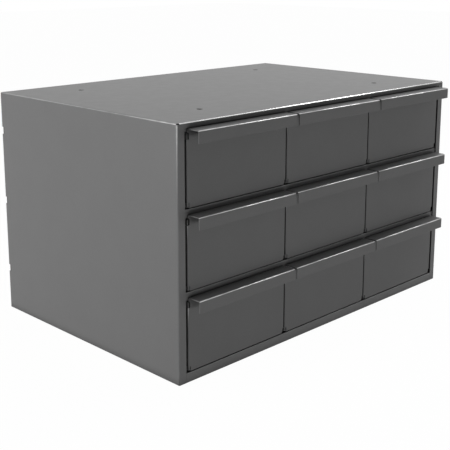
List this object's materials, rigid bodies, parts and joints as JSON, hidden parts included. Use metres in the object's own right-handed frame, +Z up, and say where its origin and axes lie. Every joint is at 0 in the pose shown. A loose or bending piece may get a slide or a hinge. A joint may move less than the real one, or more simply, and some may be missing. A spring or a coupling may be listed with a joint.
{
  "type": "drill bit drawer case",
  "caption": "Steel drawer case for drill bits and small parts: folded case with inset drawers, each with a full-width lipped handle and a movable divider.",
  "frame": {"origin": "on the floor at the middle of the footprint, handles included", "axes": "+X to the right when facing the drawers, +Y to the back, +Z up; the drawers open towards -Y"},
  "size_m": [0.4382, 0.3108, 0.254],
  "materials": {
    "case_paint": "satin grey powder coat",
    "drawer_paint": "satin grey powder coat",
    "inner_paint": "satin grey powder coat",
    "divider_paint": "satin grey powder coat"
  },
  "bodies": {
    "case": {"case_wrap": "case_paint", "back_panel": "case_paint", "bottom_pan": "case_paint", "drawer_stop_clips": "inner_paint", "shelf_under_middle_row": "case_paint", "shelf_under_top_row": "case_paint", "partition_bottom_row_1": "inner_paint", "partition_bottom_row_2": "inner_paint", "side_guide_bottom_row_left": "inner_paint", "side_guide_bottom_row_right": "inner_paint", "partition_middle_row_1": "inner_paint", "partition_middle_row_2": "inner_paint", "side_guide_middle_row_left": "inner_paint", "side_guide_middle_row_right": "inner_paint", "partition_top_row_1": "inner_paint", "partition_top_row_2": "inner_paint", "side_guide_top_row_left": "inner_paint", "side_guide_top_row_right": "inner_paint"},
    "drawer_bottom_left": {"drawer_bottom_left_tray": "drawer_paint", "drawer_bottom_left_front": "drawer_paint", "drawer_bottom_left_divider": "divider_paint"},
    "drawer_bottom_center": {"drawer_bottom_center_tray": "drawer_paint", "drawer_bottom_center_front": "drawer_paint", "drawer_bottom_center_divider": "divider_paint"},
    "drawer_bottom_right": {"drawer_bottom_right_tray": "drawer_paint", "drawer_bottom_right_front": "drawer_paint", "drawer_bottom_right_divider": "divider_paint"},
    "drawer_middle_left": {"drawer_middle_left_tray": "drawer_paint", "drawer_middle_left_front": "drawer_paint", "drawer_middle_left_divider": "divider_paint"},
    "drawer_middle_center": {"drawer_middle_center_tray": "drawer_paint", "drawer_middle_center_front": "drawer_paint", "drawer_middle_center_divider": "divider_paint"},
    "drawer_middle_right": {"drawer_middle_right_tray": "drawer_paint", "drawer_middle_right_front": "drawer_paint", "drawer_middle_right_divider": "divider_paint"},
    "drawer_top_left": {"drawer_top_left_tray": "drawer_paint", "drawer_top_left_front": "drawer_paint", "drawer_top_left_divider": "divider_paint"},
    "drawer_top_center": {"drawer_top_center_tray": "drawer_paint", "drawer_top_center_front": "drawer_paint", "drawer_top_center_divider": "divider_paint"},
    "drawer_top_right": {"drawer_top_right_tray": "drawer_paint", "drawer_top_right_front": "drawer_paint", "drawer_top_right_divider": "divider_paint"}
  },
  "joints": [
    {"name": "drawer_bottom_left_slide", "type": "slide", "parent": "case", "child": "drawer_bottom_left", "axis": [0, -1, 0], "range_m": [0, 0.24435]},
    {"name": "drawer_bottom_center_slide", "type": "slide", "parent": "case", "child": "drawer_bottom_center", "axis": [0, -1, 0], "range_m": [0, 0.24435]},
    {"name": "drawer_bottom_right_slide", "type": "slide", "parent": "case", "child": "drawer_bottom_right", "axis": [0, -1, 0], "range_m": [0, 0.24435]},
    {"name": "drawer_middle_left_slide", "type": "slide", "parent": "case", "child": "drawer_middle_left", "axis": [0, -1, 0], "range_m": [0, 0.24435]},
    {"name": "drawer_middle_center_slide", "type": "slide", "parent": "case", "child": "drawer_middle_center", "axis": [0, -1, 0], "range_m": [0, 0.24435]},
    {"name": "drawer_middle_right_slide", "type": "slide", "parent": "case", "child": "drawer_middle_right", "axis": [0, -1, 0], "range_m": [0, 0.24435]},
    {"name": "drawer_top_left_slide", "type": "slide", "parent": "case", "child": "drawer_top_left", "axis": [0, -1, 0], "range_m": [0, 0.24435]},
    {"name": "drawer_top_center_slide", "type": "slide", "parent": "case", "child": "drawer_top_center", "axis": [0, -1, 0], "range_m": [0, 0.24435]},
    {"name": "drawer_top_right_slide", "type": "slide", "parent": "case", "child": "drawer_top_right", "axis": [0, -1, 0], "range_m": [0, 0.24435]}
  ]
}
